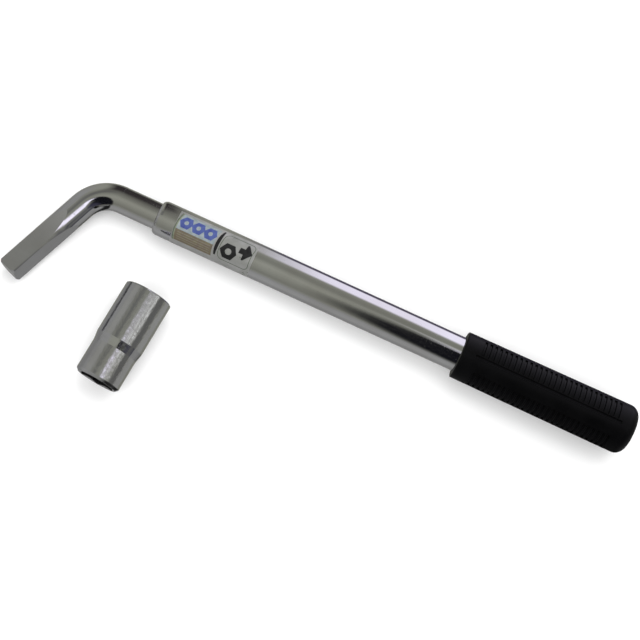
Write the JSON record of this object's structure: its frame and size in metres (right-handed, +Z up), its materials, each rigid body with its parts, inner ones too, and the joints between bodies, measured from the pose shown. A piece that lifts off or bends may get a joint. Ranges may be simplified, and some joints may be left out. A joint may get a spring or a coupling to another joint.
{
  "type": "lug wrench",
  "caption": "Telescopic L-shaped lug wrench with a sliding, swivelling drive bar, a ribbed rubber grip and a loose double-ended hex socket.",
  "frame": {"origin": "on the outer tube's axis, at the shoulder behind its rolled-in mouth", "axes": "+X along the tube towards the grip, the short arm in the XY plane towards -Y, +Z up with the short arm lying flat"},
  "size_m": [0.3902, 0.1247, 0.0355],
  "materials": {
    "chrome_tube": "polished chrome plate",
    "brass_bush": "turned",
    "black_plug": "moulded",
    "grip_rubber": "ribbed, slight sheen",
    "sticker": "silvery film",
    "ring_plastic": "moulded",
    "chrome_bar": "polished chrome plate",
    "collar_steel": "turned",
    "spring_steel": "plain",
    "ball_steel": "polished",
    "chrome_socket": "satin chrome plate"
  },
  "bodies": {
    "tube": {"outer_tube": "chrome_tube", "guide_bush": "brass_bush", "tube_plug": "black_plug", "grip_sleeve": "grip_rubber", "label": "sticker"},
    "friction_ring": {"friction_ring": "ring_plastic"},
    "bar": {"drive_bar": "chrome_bar", "stop_collar": "collar_steel", "collar_pin": "spring_steel", "lock_spring": "spring_steel", "drive_spring": "spring_steel"},
    "lock_ball": {"lock_ball": "ball_steel"},
    "drive_ball": {"drive_ball": "ball_steel"},
    "socket": {"socket": "chrome_socket"}
  },
  "joints": [
    {"name": "bar_slide", "type": "slide", "parent": "tube", "child": "friction_ring", "axis": [-1, 0, 0], "range_m": [0, 0.17]},
    {"name": "bar_swivel", "type": "hinge", "parent": "friction_ring", "child": "bar", "pos_m": [0.2114, 0, 0], "axis": [1, 0, 0], "continuous": true},
    {"name": "lock_ball_press", "type": "slide", "parent": "bar", "child": "lock_ball", "axis": [0, 0, 1], "range_m": [-0.001, 0.00045], "stiffness_N_per_m": 1500, "springref_m": 0.003, "deforming": ["lock_spring"]},
    {"name": "drive_ball_press", "type": "slide", "parent": "bar", "child": "drive_ball", "axis": [0.2561, -0.1019, -0.9613], "range_m": [-0.0009, 0], "stiffness_N_per_m": 1200, "springref_m": 0.003, "deforming": ["drive_spring"]},
    {"name": "socket_lift", "type": "slide", "parent": "tube", "child": "socket", "axis": [0, 0, 1], "range_m": [0, 0.06]}
  ]
}
